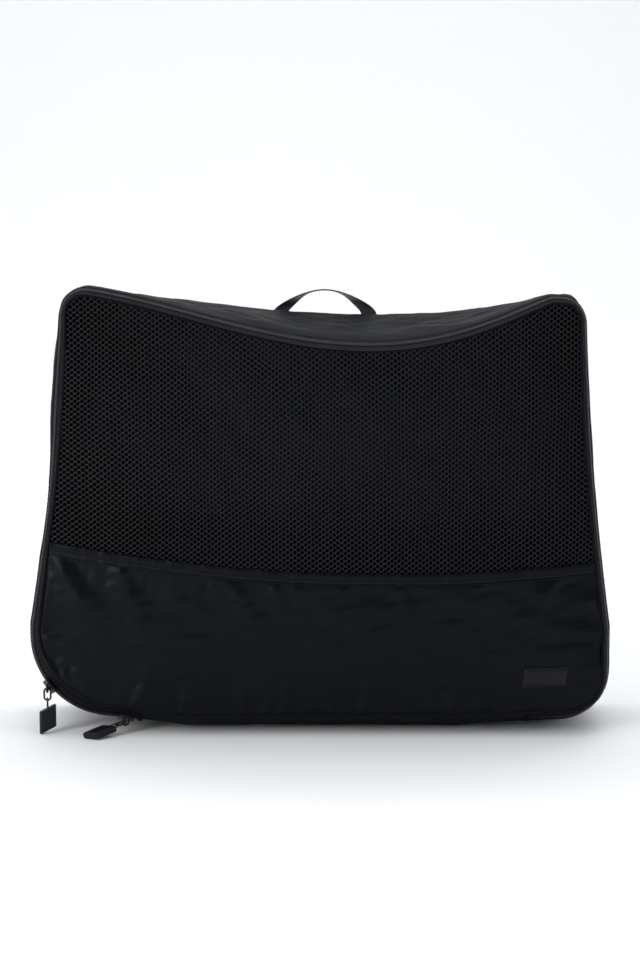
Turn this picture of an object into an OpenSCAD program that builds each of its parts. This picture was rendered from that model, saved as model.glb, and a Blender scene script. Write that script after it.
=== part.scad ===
// Soft travel packing cube with a zipped lid, standing on its long edge.
// X runs along the width, -Y is the lid side, +Z is up. The origin is under
// the middle of the case, on the surface that it stands on. Millimetres.

/* [Case] */
// Widest outside width, low on the sides, where a filled case spreads
case_w = 452; // [400:1:480]
// Height of the two upper corners of the lid
case_h = 340; // [320:1:360]
// Height of the two upper corners of the back
back_h = 332; // [315:1:345]
// How far the left side leans in between the widest place and the top
lean_left = 27; // [0:1:40]
// How far the right side leans in
lean_right = 22; // [0:1:40]
// How much less the left wall leans half-way back, where it is full
fill_left = 7; // [0:0.5:10]
// How much less the right wall leans half-way back
fill_right = 2; // [0:0.5:10]
// How much higher the upper left corner is than the middle, and the right one lower
top_tilt = 4; // [0:0.5:8]
// Radius of the lower left corner, where the zip ends
low_r_left = 66; // [60:1:70]
// Radius of the lower right corner
low_r_right = 42; // [36:1:60]
// Radius of the two upper corners
high_r = 24; // [16:1:36]
// Height of the lower left corner off the ground
lift_left = 8; // [4:1:16]
// Height of the lower right corner off the ground
lift_right = 4.5; // [0:0.5:12]
// Dip of the lid's top edge between its corners
front_dip = 41; // [0:1:50]
// Dip of the back's top edge between its corners
back_dip = 11; // [0:1:24]
// Thickness of the nylon cloth and its coating, as a stiff sheet
cloth_t = 1.2; // [0.8:0.1:1.6]

/* [Depth] */
// Lid seam, measured from the middle of the case
front_y = -56; // [-62:1:-50]
// Centre line of the zip
zip_y = -46; // [-48:0.5:-45]
// Back seam
back_y = 52; // [46:1:60]
// How far the lid seam stands inside the widest outline
front_inset = 10; // [6:0.5:12]
// How much further in the lid seam is at the lower left corner, where the zip faces down and forwards
corner_tuck = 8; // [0:0.5:10]
// How much higher the lid's lower edge stands in the middle of the base
base_rise = 5.5; // [0:0.5:7]
// How far the back seam stands inside the widest outline
back_inset = 4; // [2:0.5:6]
// How far a filled lid stands out beyond its seam
lid_crown = 9; // [0:0.5:12]

/* [Lid] */
// Height of the cloth panel's hem at the middle of the lid
hem_z = 126; // [110:1:150]
// Width of the hem's stitched fold
hem_w = 9; // [6:0.5:12]
// Length of the blank patch
patch_l = 34; // [24:1:40]
// Height of the blank patch
patch_h = 15.5; // [10:0.5:20]

/* [Zip] */
// Width of one row of the coil
coil_w = 2.5; // [2:0.1:3]
// Length of a slider's body
slider_l = 12; // [10:0.5:13]
// Width of a slider's body
slider_w = 9.2; // [8:0.2:10]
// Place of slider A on the lower left corner, from +X towards +Z
slider_a_turn = 218.5; // [214:0.5:224]
// Distance of slider B from the middle of the case
slider_b_x = 149; // [148:0.5:150]
// Width of a pull tab
tab_w = 12.5; // [10:0.5:14]
// Length of each long side of a pull tab
tab_l = 17; // [15:0.5:18]
// How far the tab's ends slant over its width
tab_skew = 5.5; // [0:0.5:6]
// Thickness of a pull tab
tab_t = 5.4; // [5:0.2:5.6]

/* [Handle] */
// Width of the handle's webbing
strap_w = 12.7; // [10:0.1:16]
// Thickness of the handle's webbing
strap_t = 1.4; // [1:0.1:1.8]
// Distance between the middles of the webbing's two ends
strap_span = 67; // [60:1:90]
// Height of the handle above its sewn ends
strap_rise = 15; // [12:1:24]

/* [Hidden] */

half_w = case_w / 2;
gap = 0.1;
split = 0.3;          // from the zip's centre line to each side's cloth and coil
fade = 75;            // below this height the corners are true arcs
lift_end = 225;       // the corners' lift has gone at this height
ramp_start = 104;     // the base is flat for this far each side of its middle
dip_half = 175;       // the top edge dips within this distance of the middle
tuck_depth = 14;      // depth over which the tucked corner meets the wall
tuck_mid = 11;        // station in the middle of the tuck
tuck_half = 8;        // and its reach in stations
rise_left = 7;        // stations from the middle of the base to where the raised edge ends
rise_right = 13;
dip_skew = 0.5;       // and dips lower on its right
roll_front = 36;      // depth over which the walls curve in to the lid seam
roll_back = 10;       // and to the back seam
bead_r = 1.4;
fill_start = 160;     // the walls are full above this height

// Stations of the outline, counted from the middle of the base by way of the left side
base_n = 8;
low_n = 8;
side_n = 8;
high_n = 6;
top_n = 16;
half_n = base_n + low_n + side_n + high_n + top_n / 2;
all_n = 2 * half_n;
zip_end = base_n - 1;
low_mid = base_n + low_n / 2;
high_mid = base_n + low_n + side_n + high_n / 2;

function clamp(v) = min(1, max(0, v));
function mix(a, b, t) = a + (b - a) * t;
function along(y) = clamp((y - front_y) / (back_y - front_y));

function tuck(k) = pow(cos(90 * clamp(abs((k + all_n) % all_n - tuck_mid) / tuck_half)), 2);
// How far the lid's lower edge is raised at station k, and at x
function rise(k) =
    let (n = (k + all_n) % all_n, m = n <= half_n ? n / rise_left : (all_n - n) / rise_right)
    base_rise * (1 - pow(clamp(m), 3));
function rise_at(x) =
    rise(x < 0 ? -x * base_n / (half_w - low_r_left) : all_n - x * base_n / (half_w - low_r_right));
// Inset of the outline at depth y and station k from the widest outline
function edge(y, k) =
    (y < front_y + roll_front ?
        (front_inset + rise(k)) * (1 - sin(90 * max(0, y - front_y) / roll_front))
    : y > back_y - roll_back ? back_inset * (1 - sin(90 * (back_y - y) / roll_back))
    : 0)
    + corner_tuck * tuck(k) * (1 - sin(90 * clamp((y - front_y) / tuck_depth)));

// One half of a rounded rectangle, h high, its lower corner of radius r, drawn i inside
function half_outline(k, i, h, r) =
    let (w = half_w - i, low = r - i, high = high_r - i,
        k1 = k - base_n, k2 = k1 - low_n, k3 = k2 - side_n, k4 = k3 - high_n)
    k1 <= 0 ? [(half_w - r) * k / base_n, i]
    : k2 <= 0 ? let (a = 90 * k1 / low_n) [half_w - r + low * sin(a), r - low * cos(a)]
    : k3 <= 0 ? [w, mix(r, h - high_r, k2 / side_n)]
    : k4 <= 0 ? let (a = 90 * k3 / high_n) [half_w - high_r + high * cos(a), h - high_r + high * sin(a)]
    : [(half_w - high_r) * (1 - k4 / (top_n / 2)), h - i];

function low_radius(side) = side < 0 ? low_r_left : low_r_right;
function lift(x, z) =
    (x < 0 ? lift_left : lift_right)
    * clamp((abs(x) - ramp_start) / (half_w - low_radius(x) - ramp_start))
    * (1 - clamp((z - fade) / (lift_end - fade)));
function bow(x) =
    let (u = x / dip_half)
    abs(u) >= 1 ? 0 : pow(1 - u * u, 1.2) * (1 + dip_skew * u);
function fill(x, z, h) =
    (x < 0 ? fill_left : fill_right) * pow(sin(180 * clamp((z - fill_start) / (h - fill_start))), 2);
function lean(x, z, h, full) =
    let (most = (x < 0 ? lean_left : lean_right) - full * fill(x, z, h))
    x * (1 - most / half_w * sin(90 * clamp((z - fade) / (h - fade))));
function settle(x, z, h, dip, full) =
    let (sx = lean(x, z, h, full), upper = clamp(2 * z / h - 1))
    [sx, z + lift(x, z) - dip * bow(sx) * pow(upper, 2) + top_tilt * (0.5 - sx / half_w) * upper];

// A point on the outline: station k, depth y, i inside the outer face
function at(k, y, i) =
    let (n = (k + all_n) % all_n, side = n <= half_n ? -1 : 1, m = side < 0 ? n : all_n - n,
        h = mix(case_h, back_h, along(y)), dip = mix(front_dip, back_dip, along(y)),
        p = half_outline(m, edge(y, n) + i, h, low_radius(side)),
        q = settle(side * p[0], p[1], h, dip, sin(180 * along(y))))
    [q[0], y, q[1]];

// Sweeps a section of [depth, inset] points along the outline, from one station to another.
// Each end is closed by pairs of triangles across the section, so that walls that meet there fit
module wall(section, from, to) {
    n = len(section);
    rows = to - from;
    points = [for (k = [from:to], s = section) at(k, s[0], s[1])];
    sides = [for (r = [0:rows - 1], j = [0:n - 1])
        let (a = r * n + j, b = r * n + (j + 1) % n) each [[a, b, b + n], [a, b + n, a + n]]];
    ends = [for (j = [0:n / 2 - 2]) let (c = n - 1 - j, m = rows * n)
        each [[c, j + 1, j], [c, c - 1, j + 1], [m + j, m + j + 1, m + c], [m + j + 1, m + c - 1, m + c]]];
    polyhedron(points, concat(sides, ends), convexity = 6);
}

// The same all the way round
module ring_wall(section) {
    n = len(section);
    points = [for (k = [0:all_n - 1], s = section) at(k, s[0], s[1])];
    sides = [for (r = [0:all_n - 1], j = [0:n - 1])
        let (a = r * n + j, b = r * n + (j + 1) % n, up = r == all_n - 1 ? -r * n : n)
        each [[a, b, b + up], [a, b + up, a + up]]];
    polyhedron(points, sides, convexity = 8);
}

// A strip of cloth's section, from depth y0 to depth y1, t thick and i inside the outer face
function strip(y0, y1, i, t) = [[y0, i], [y1, i], [y1, i + t], [y0, i + t]];
function both_faces(ys, t) =
    concat([for (y = ys) [y, 0]], [for (j = [len(ys) - 1:-1:0]) [ys[j], t]]);

tape_front = front_y + bead_r + 0.2;
tape_back = zip_y + 9;
gusset_section = both_faces([tape_back + gap, -31, -25, -20, 0, 20, 42, 46, 49, back_y - 2], cloth_t);

// ---- case ----
module back_panel() {
    rim = [for (k = [0:all_n - 1]) let (p = at(k, back_y, 3.3)) [p[0], p[2]]];
    color("#15181d") translate([0, back_y, 0]) rotate([90, 0, 0]) linear_extrude(cloth_t) polygon(rim);
}
module gusset_top() {
    color("#171a20") wall(gusset_section, high_mid, all_n - high_mid);
}
module gusset_left() {
    color("#171a20") wall(gusset_section, low_mid, high_mid);
}
module gusset_right() {
    color("#171a20") wall(gusset_section, all_n - high_mid, all_n - low_mid);
}
module gusset_bottom() {
    color("#171a20") {
        wall(gusset_section, -low_mid, low_mid);
        wall(strip(zip_y + split, tape_back + gap, 0, cloth_t), -zip_end, zip_end);
    }
}
module rear_binding() {
    color("#101216") ring_wall(strip(back_y - 1.8, back_y + 1.4, 0.3, 2.8));
}
module case_zip_tape() {
    color("#121419") wall(strip(zip_y + split, tape_back, 0.2, 0.8), zip_end, all_n - zip_end);
}
module case_zip_coil() {
    color("#0d0f12")
        wall(strip(zip_y + split, zip_y + split + coil_w, -0.9, 0.9), zip_end, all_n - zip_end);
}

// A stitched tab over the end of the zip, on the case's side, from station k0 to k1
module zip_stop(k0, k1) {
    depths = [zip_y + split, zip_y + split + 5];
    section = [[depths[0], -1.8], [depths[1], -1.8], [depths[1], -1.1], [depths[0], -1.1]];
    points = [for (k = [k0, k1], s = section) at(k, s[0], s[1])];
    sides = [for (j = [0:3]) let (b = (j + 1) % 4) each [[j, b, b + 4], [j, b + 4, j + 4]]];
    color("#101216") polyhedron(points, concat(sides, [[3, 2, 1, 0], [4, 5, 6, 7]]));
}
stop_k = [zip_end - 0.13, zip_end + 0.06];

// ---- lid ----
// Depth of the lid's cloth at x, z: level with its seam at the edge, and full in the middle
function lid_y(x, z) =
    let (top = case_h - front_inset - front_dip * bow(x), low = front_inset + rise_at(x),
        u = clamp(abs(x) / abs(lean(sign(x) * (half_w - front_inset), z, case_h, 0))),
        v = clamp(abs(2 * z - top - low) / (top - low)))
    front_y - lid_crown * (1 - pow(u, 3)) * (1 - pow(v, 3));
function hem_line(x) = let (u = x / 200) hem_z + 14 * u * u - 8 * u;

rim_i = bead_r + 0.2;
seam_dz = -hem_w / 2;
function rim(k) = let (p = at(k, front_y, rim_i)) [p[0], p[2]];
// Station where the lid's outline meets the hem's seam, closing in from a first guess
function meet(k, steps) =
    let (p = rim(k), q = rim(k + 0.01), next = k + 0.01 * (hem_line(p[0]) + seam_dz - p[1]) / (q[1] - p[1]))
    steps == 0 ? k : meet(next, steps - 1);
hem_left = meet(base_n + low_n + 2, 8);
hem_right = meet(all_n - base_n - low_n - 2, 8);

// A crowned sheet over an outline, in rings about its middle point
module sheet(outline, middle) {
    n = len(outline);
    rings = 5;
    flat = [for (r = [1:rings], p = outline) mix(middle, p, r / rings)];
    m = len(flat);
    face = function(dy) [for (p = concat(flat, [middle])) [p[0], lid_y(p[0], p[1]) + dy, p[1]]];
    points = concat(face(-cloth_t / 2), face(cloth_t / 2));
    back = m + 1;
    hub = [for (j = [0:n - 1]) let (b = (j + 1) % n) each [[m, j, b], [m + back, b + back, j + back]]];
    skin = [for (r = [0:rings - 2], j = [0:n - 1])
        let (a = r * n + j, b = r * n + (j + 1) % n)
        each [[a, a + n, b + n], [a, b + n, b],
            [a + back, b + n + back, a + n + back], [a + back, b + back, b + n + back]]];
    rim = [for (j = [0:n - 1])
        let (a = (rings - 1) * n + j, b = (rings - 1) * n + (j + 1) % n)
        each [[a, a + back, b + back], [a, b + back, b]]];
    polyhedron(points, concat(hub, skin, rim), convexity = 4);
}

hem_n = 24;
function hem_points(from, to, dz) =
    [for (j = [0:hem_n]) let (x = mix(from, to, j / hem_n)) [x, hem_line(x) + dz]];
function on_rim(side) = let (p = rim(side < 0 ? hem_left : hem_right)) p[0];

module lid_mesh() {
    upper = [for (k = [ceil(hem_left):floor(hem_right)]) rim(k)];
    color("#22272e") sheet(concat(hem_points(on_rim(1), on_rim(-1), seam_dz + gap), upper), [0, 215]);
}
module lid_panel() {
    lower = [for (k = [ceil(hem_right):all_n + floor(hem_left)]) rim(k)];
    color("#171a20") sheet(concat(hem_points(on_rim(-1), on_rim(1), seam_dz - gap), lower), [0, 66]);
}
module lid_hem() {
    tops = hem_points(on_rim(-1) + 1.5, on_rim(1) - 1.5, 0);
    section = function(p, z, out) [p[0], lid_y(p[0], z) - cloth_t / 2 - out, z];
    points = [for (p = tops)
        each [section(p, p[1], 0.1), section(p, p[1], 0.9),
            section(p, p[1] - hem_w, 0.9), section(p, p[1] - hem_w, 0.1)]];
    sides = [for (r = [0:hem_n - 1], j = [0:3])
        let (a = r * 4 + j, b = r * 4 + (j + 1) % 4) each [[a, b, b + 4], [a, b + 4, a + 4]]];
    color("#1b1f26") polyhedron(points, concat(sides, [[3, 2, 1, 0], [for (j = [0:3]) hem_n * 4 + j]]));
}
module lid_binding() {
    bead = [for (j = [0:7]) [front_y - bead_r * sin(45 * j), bead_r * cos(45 * j)]];
    color("#1d2128") ring_wall(bead);
}
module lid_zip_tape() {
    color("#121419") wall(strip(tape_front, zip_y - split, 0.2, 0.8), zip_end, all_n - zip_end);
}
module lid_zip_coil() {
    color("#0d0f12")
        wall(strip(zip_y - split - coil_w, zip_y - split, -0.9, 0.9), zip_end, all_n - zip_end);
}
module lid_flap() {
    color("#171a20") wall(strip(tape_front, zip_y - split, 0, cloth_t), -zip_end, zip_end);
}
module patch() {
    x = 171.5;
    z = 45.5;
    near = min([for (sx = [-1, 1], sz = [-1, 1]) lid_y(x + sx * patch_l / 2, z + sz * patch_h / 2),
        lid_y(x - patch_l / 2, z)]);
    color("#0c0e10") translate([x - patch_l / 2, near - cloth_t / 2 - 2.2, z - patch_h / 2])
        cube([patch_l, 1.4, patch_h]);
}

// ---- sliders and their pulls ----
// Slope of the skin at the zip: how much it faces the lid's side at station k
function slope(k) =
    atan(front_inset * PI / 2 / roll_front * cos(90 * (zip_y - front_y) / roll_front)
        + corner_tuck * tuck(k) * PI / 2 / tuck_depth * cos(90 * (zip_y - front_y) / tuck_depth));
a_k = base_n + low_n * (270 - slider_a_turn) / 90;
b_k = base_n * slider_b_x / (half_w - low_r_left);
corner_x = low_r_left - half_w;
corner_z = low_r_left + lift_left;
zip_r = low_r_left - edge(zip_y, a_k);
ramp = atan(lift_left / (half_w - low_r_left - ramp_start));

a_at = [corner_x + zip_r * cos(slider_a_turn), zip_y, corner_z + zip_r * sin(slider_a_turn)];
b_turn = 270 - ramp;
b_at = [-slider_b_x, zip_y, edge(zip_y, b_k) + (slider_b_x - ramp_start) * tan(ramp)];

eye_up = 4.7;         // from the coil's face to the middle of the slider's eye
function out_of(turn, k) =
    [cos(turn) * cos(slope(k)), -sin(slope(k)), sin(turn) * cos(slope(k))];
a_eye = a_at + eye_up * out_of(slider_a_turn, a_k);
b_eye = b_at + eye_up * out_of(b_turn, b_k);

lip_t = 0.8;
wire_r = 0.75;
ring_r = 2.5;
ring_l = 9;
b_heading = -51;
b_ring_tilt = 12;
b_tab_tilt = 11;
a_twist = 20;         // how far tab A is turned about its own length
link_r = 1.75;
link_wire = 0.4;
link_l = 6;
function down(tilt, heading) =
    [cos(tilt) * sin(heading), -cos(tilt) * cos(heading), -sin(tilt)];
a_joint = a_eye + ring_l * down(90, 0);
b_joint = b_eye + ring_l * down(b_ring_tilt, b_heading);

module torus(big, small, turn = 360) {
    rotate_extrude(angle = turn, $fn = 40) translate([big, 0]) circle(small, $fn = 20);
}
module rounded_plate(l, w, r, t) {
    linear_extrude(t) {
        square([l - 2 * r, w], center = true);
        square([l, w - 2 * r], center = true);
        for (sx = [-1, 1], sy = [-1, 1]) translate([sx * (l / 2 - r), sy * (w / 2 - r)]) circle(r, $fn = 32);
    }
}
// Lengthwise along local X, outer face towards local +Z, its lip on the case's side (1) or the lid's (-1)
module slider(place, turn, k, heading, lip) {
    color("#0b0c0e") union() {
        translate(place) rotate([slope(k), 90 - turn, 0]) {
            translate([0, 0, 1.3]) rounded_plate(slider_l, slider_w, 2, 1.5);
            translate([-4, lip * slider_w / 2 - (lip + 1) / 2 * lip_t, -0.1]) cube([8, lip_t, 1.6]);
        }
        translate(place + eye_up * out_of(turn, k)) rotate([0, 90, heading]) torus(2.8, 0.75);
    }
}
// A long ring, its top wire along local X, hanging towards local -Y
module ring() {
    color("#0b0c0e") union() {
        translate([0, -ring_r, 0]) torus(ring_r, wire_r, 180);
        translate([0, ring_r - ring_l, 0]) rotate([0, 0, 180]) torus(ring_r, wire_r, 180);
        for (s = [-1, 1]) translate([s * ring_r, -ring_r, 0]) rotate([90, 0, 0])
            cylinder(r = wire_r, h = ring_l - 2 * ring_r, $fn = 20);
    }
}
// A thin wire loop round the ring's lower end, with a front and a back leg into the tab
module link(twist) {
    color("#0b0c0e") rotate([0, twist, 0]) union() {
        rotate([0, 90, 0]) torus(link_r, link_wire, 180);
        for (face = [-1, 1]) translate([0, 0, face * link_r]) rotate([90, 0, 0])
            cylinder(r = link_wire, h = link_l, $fn = 20);
    }
}
// A block with slanting ends and its long edges cut back
module tab(twist) {
    cut = 1.2;
    half = tab_w / 2;
    skew = tab_skew / 2;
    color("#0b0c0e") rotate([0, twist, 0]) translate([0, -link_l - 0.3, 0]) intersection() {
        translate([0, 0, -tab_t / 2]) linear_extrude(tab_t)
            polygon([[-half, -skew], [half, skew], [half, skew - tab_l], [-half, -skew - tab_l]]);
        translate([0, skew + 1, 0]) rotate([90, 0, 0]) linear_extrude(tab_l + tab_skew + 2)
            polygon([[-half, cut - tab_t / 2], [cut - half, -tab_t / 2], [half - cut, -tab_t / 2],
                [half, cut - tab_t / 2], [half, tab_t / 2 - cut], [half - cut, tab_t / 2],
                [cut - half, tab_t / 2], [-half, tab_t / 2 - cut]]);
    }
}

// ---- handle ----
strap_x = 3.5;
strap_y = back_y + 3.4;
strap_z = back_h - back_dip + 3.5;
strap_n = 28;
// The webbing bows up in a parabola and turns from flat on the seam to edge-on at its top
function strap_point(u) =
    [strap_x + strap_span / 2 * u, strap_z + strap_rise * (1 - u * u), 90 + 90 * sign(u) * pow(abs(u), 2.2)];
module handle_strap() {
    corners = [[-1, -1], [1, -1], [1, 1], [-1, 1]];
    points = [for (j = [0:strap_n], c = corners)
        let (s = strap_point(2 * j / strap_n - 1), w = c[0] * strap_w / 2, t = c[1] * strap_t / 2,
            sideways = w * cos(s[2]), deep = w * sin(s[2]) + t * abs(cos(s[2])), up = t * sin(s[2]))
        [s[0] + sideways, strap_y + deep, s[1] + up]];
    sides = [for (r = [0:strap_n - 1], j = [0:3])
        let (a = r * 4 + j, b = r * 4 + (j + 1) % 4) each [[a, b, b + 4], [a, b + 4, a + 4]]];
    ends = [[3, 2, 1, 0], [for (j = [0:3]) strap_n * 4 + j]];
    color("#14161a") polyhedron(points, concat(sides, ends));
}

module zip_stop_left() { zip_stop(stop_k[0], stop_k[1]); }
module zip_stop_right() { zip_stop(all_n - stop_k[1], all_n - stop_k[0]); }
module slider_a_body() { slider(a_at, slider_a_turn, a_k, 0, 1); }
module slider_a_ring() { translate(a_eye) rotate([90, 0, 0]) ring(); }
module slider_a_link() { translate(a_joint) rotate([90, 0, 0]) link(a_twist); }
module slider_a_tab() { translate(a_joint) rotate([90, 0, 0]) tab(a_twist); }
module slider_b_body() { slider(b_at, b_turn, b_k, b_heading, -1); }
module slider_b_ring() { translate(b_eye) rotate([b_ring_tilt, 0, b_heading]) ring(); }
module slider_b_link() { translate(b_joint) rotate([b_tab_tilt, 0, b_heading]) link(0); }
module slider_b_tab() { translate(b_joint) rotate([b_tab_tilt, 0, b_heading]) tab(0); }

back_panel();
gusset_top();
gusset_left();
gusset_right();
gusset_bottom();
rear_binding();
case_zip_tape();
case_zip_coil();
zip_stop_left();
zip_stop_right();
lid_mesh();
lid_panel();
lid_hem();
lid_binding();
lid_zip_tape();
lid_zip_coil();
lid_flap();
patch();
slider_a_body();
slider_a_ring();
slider_a_link();
slider_a_tab();
slider_b_body();
slider_b_ring();
slider_b_link();
slider_b_tab();
handle_strap();
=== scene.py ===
# A soft packing cube, zipped shut and standing on its long edge. Blender 4.5, metres, in the CAD part's frame.
import math

import bpy
import numpy as np
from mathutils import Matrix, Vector


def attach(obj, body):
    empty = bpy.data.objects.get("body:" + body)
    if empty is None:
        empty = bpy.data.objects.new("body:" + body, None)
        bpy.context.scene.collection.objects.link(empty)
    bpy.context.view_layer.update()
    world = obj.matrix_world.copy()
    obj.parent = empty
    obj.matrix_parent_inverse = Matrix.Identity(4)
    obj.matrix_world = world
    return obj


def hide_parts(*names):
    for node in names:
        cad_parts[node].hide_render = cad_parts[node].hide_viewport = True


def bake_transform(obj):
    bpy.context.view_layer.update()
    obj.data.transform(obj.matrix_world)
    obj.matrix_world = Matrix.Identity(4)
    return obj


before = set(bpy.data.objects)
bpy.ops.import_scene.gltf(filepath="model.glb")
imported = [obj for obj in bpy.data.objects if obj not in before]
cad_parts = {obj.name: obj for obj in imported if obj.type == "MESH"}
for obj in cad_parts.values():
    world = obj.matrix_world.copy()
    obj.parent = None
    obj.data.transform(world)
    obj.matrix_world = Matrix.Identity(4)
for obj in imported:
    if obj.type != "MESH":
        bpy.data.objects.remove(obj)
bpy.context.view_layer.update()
MM = 0.001

# ---------------------------------------------------------------- the case's outline, in millimetres
# A station k runs along the outline: from the middle of the base round by the left, the top and the right. Each
# stretch of it has the number of stations named here. The depth y runs from the lid (FRONT_Y) to the back (BACK_Y).
HALF_W, FRONT_Y, ZIP_Y, BACK_Y = 226.0, -56.0, -46.0, 52.0
CASE_H, BACK_H, HIGH_R = 340.0, 332.0, 24.0
LEAN_LEFT, LEAN_RIGHT, FILL_LEFT, FILL_RIGHT, FILL_START, TOP_TILT = 27.0, 22.0, 7.0, 2.0, 160.0, 4.0
LOW_R_LEFT, LOW_R_RIGHT, LIFT_LEFT, LIFT_RIGHT = 66.0, 42.0, 8.0, 4.5
CORNER_TUCK, TUCK_DEPTH, TUCK_MID, TUCK_HALF = 8.0, 14.0, 11.0, 8.0
FRONT_DIP, BACK_DIP, DIP_HALF, DIP_SKEW = 41.0, 11.0, 175.0, 0.5
FRONT_INSET, BACK_INSET, ROLL_FRONT, ROLL_BACK = 10.0, 4.0, 36.0, 10.0
FADE, LIFT_END, RAMP_START, LID_CROWN = 75.0, 225.0, 104.0, 9.0
BASE_RISE, RISE_LEFT, RISE_RIGHT = 5.5, 7.0, 13.0
HEM_Z, BEAD_R, SPLIT = 126.0, 1.3, 0.3
BASE_N, LOW_N, SIDE_N, HIGH_N, TOP_N = 8, 8, 8, 6, 16
HALF_N = BASE_N + LOW_N + SIDE_N + HIGH_N + TOP_N // 2
ALL_N = 2 * HALF_N
ZIP_END = BASE_N - 1
LOW_MID = BASE_N + LOW_N // 2
HEM_LEFT = BASE_N + LOW_N + 2
HEM_RIGHT = ALL_N - HEM_LEFT
TAPE_BACK = ZIP_Y + 9
LID_TAPE_Y = -54.6
STATION = 22.0             # about how long one station is, for the noise along the outline
BOW_POWER, HEM_SAG, HEM_SLANT, HEM_REACH = 1.2, 14.0, 8.0, 200.0


def clamp(v):
    """v kept from 0 to 1."""
    return np.clip(v, 0.0, 1.0)


def mix(a, b, t):
    """From a to b as t goes from 0 to 1."""
    return a + (b - a) * t


def rise(k):
    """How far the lid's lower edge is raised at station k."""
    n = np.mod(k, ALL_N)
    return BASE_RISE * (1 - clamp(np.where(n <= HALF_N, n / RISE_LEFT, (ALL_N - n) / RISE_RIGHT)) ** 3)


def edge(y, k):
    """Inset of the outline at depth y and station k from the widest outline."""
    tuck = np.cos(np.pi / 2 * clamp(np.abs(np.mod(k, ALL_N) - TUCK_MID) / TUCK_HALF)) ** 2
    front = (FRONT_INSET + rise(k)) * (1 - np.sin(np.pi / 2 * np.clip((y - FRONT_Y) / ROLL_FRONT, 0, 1)))
    back = BACK_INSET * (1 - np.sin(np.pi / 2 * np.clip((BACK_Y - y) / ROLL_BACK, 0, 1)))
    base = np.where(y < FRONT_Y + ROLL_FRONT, front, np.where(y > BACK_Y - ROLL_BACK, back, 0.0))
    return base + CORNER_TUCK * tuck * (1 - np.sin(np.pi / 2 * clamp((y - FRONT_Y) / TUCK_DEPTH)))


def lean(x, z, h, full):
    """x drawn in towards the top, with the sides' slight fullness where full is 1."""
    fill = np.where(x < 0, FILL_LEFT, FILL_RIGHT) * np.sin(np.pi * clamp((z - FILL_START) / (h - FILL_START))) ** 2
    amount = np.where(x < 0, LEAN_LEFT, LEAN_RIGHT) - full * fill
    return x * (1 - amount / HALF_W * np.sin(np.pi / 2 * clamp((z - FADE) / (h - FADE))))


def bow(x):
    """How far the top sags at x, from 0 to about 1."""
    u = x / DIP_HALF
    return np.where(np.abs(u) < 1, np.clip(1 - u * u, 0, 1) ** BOW_POWER * (1 + DIP_SKEW * u), 0.0)


def outline(k, y, i=0.0):
    """Points on the case's skin, in metres: station k, depth y, i inside the outer face. All may be arrays."""
    k, y, i = np.broadcast_arrays(np.asarray(k, float), np.asarray(y, float), np.asarray(i, float))
    n = np.mod(k, ALL_N)
    left = n <= HALF_N
    side = np.where(left, -1.0, 1.0)
    m = np.where(left, n, ALL_N - n)
    t = clamp((y - FRONT_Y) / (BACK_Y - FRONT_Y))
    h, dip = mix(CASE_H, BACK_H, t), mix(FRONT_DIP, BACK_DIP, t)
    r = np.where(left, LOW_R_LEFT, LOW_R_RIGHT)
    inset = edge(y, k) + i
    w, low, high = HALF_W - inset, r - inset, HIGH_R - inset
    k1 = m - BASE_N
    k2, k3, k4 = k1 - LOW_N, k1 - LOW_N - SIDE_N, k1 - LOW_N - SIDE_N - HIGH_N
    a, b = np.pi / 2 * k1 / LOW_N, np.pi / 2 * k3 / HIGH_N
    zones = [k1 <= 0, k2 <= 0, k3 <= 0, k4 <= 0]
    px = np.select(zones, [(HALF_W - r) * m / BASE_N, HALF_W - r + low * np.sin(a), w,
                           HALF_W - HIGH_R + high * np.cos(b)], (HALF_W - HIGH_R) * (1 - k4 / (TOP_N / 2)))
    pz = np.select(zones, [inset, r - low * np.cos(a), mix(r, h - HIGH_R, k2 / SIDE_N),
                           h - HIGH_R + high * np.sin(b)], h - inset)
    x = side * px
    sx = lean(x, pz, h, np.sin(np.pi * t))
    upper = clamp(2 * pz / h - 1)
    up = np.where(x < 0, LIFT_LEFT, LIFT_RIGHT) * clamp((np.abs(x) - RAMP_START) / (HALF_W - r - RAMP_START))
    z = pz + up * (1 - clamp((pz - FADE) / (LIFT_END - FADE))) - dip * bow(sx) * upper ** 2
    z = z + TOP_TILT * (0.5 - sx / HALF_W) * upper
    return np.stack([sx, y, z], -1) * MM


def lid_y(x, z):
    """Depth of the lid's cloth at x, z, in millimetres."""
    k = np.where(x < 0, -x * BASE_N / (HALF_W - LOW_R_LEFT), ALL_N - x * BASE_N / (HALF_W - LOW_R_RIGHT))
    top, low = CASE_H - FRONT_INSET - FRONT_DIP * bow(x), FRONT_INSET + rise(k)
    reach = np.abs(lean(np.sign(x) * (HALF_W - FRONT_INSET), z, CASE_H, 0.0)) + 1e-6
    u, v = clamp(np.abs(x) / reach), clamp(np.abs(2 * z - top - low) / (top - low))
    return FRONT_Y - LID_CROWN * (1 - u ** 3) * (1 - v ** 3)


def hem_line(x):
    """Height of the window's lower edge at x."""
    u = x / HEM_REACH
    return HEM_Z + HEM_SAG * u * u - HEM_SLANT * u


def noise(a, b, seed, freq, octaves=4):
    """Smooth random relief of about -1 to 1 over the plane a, b (any units); freq is waves per unit."""
    out = np.zeros(np.broadcast(a, b).shape)
    draw = np.random.default_rng(seed)
    for o in range(octaves):
        for _ in range(5):
            turn, phase = draw.uniform(0, 2 * np.pi, 2)
            f = freq * 1.9 ** o * draw.uniform(0.7, 1.3)
            out = out + np.sin(2 * np.pi * f * (a * np.cos(turn) + b * np.sin(turn)) + phase) * 0.55 ** o
    return out / 4.0


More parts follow.
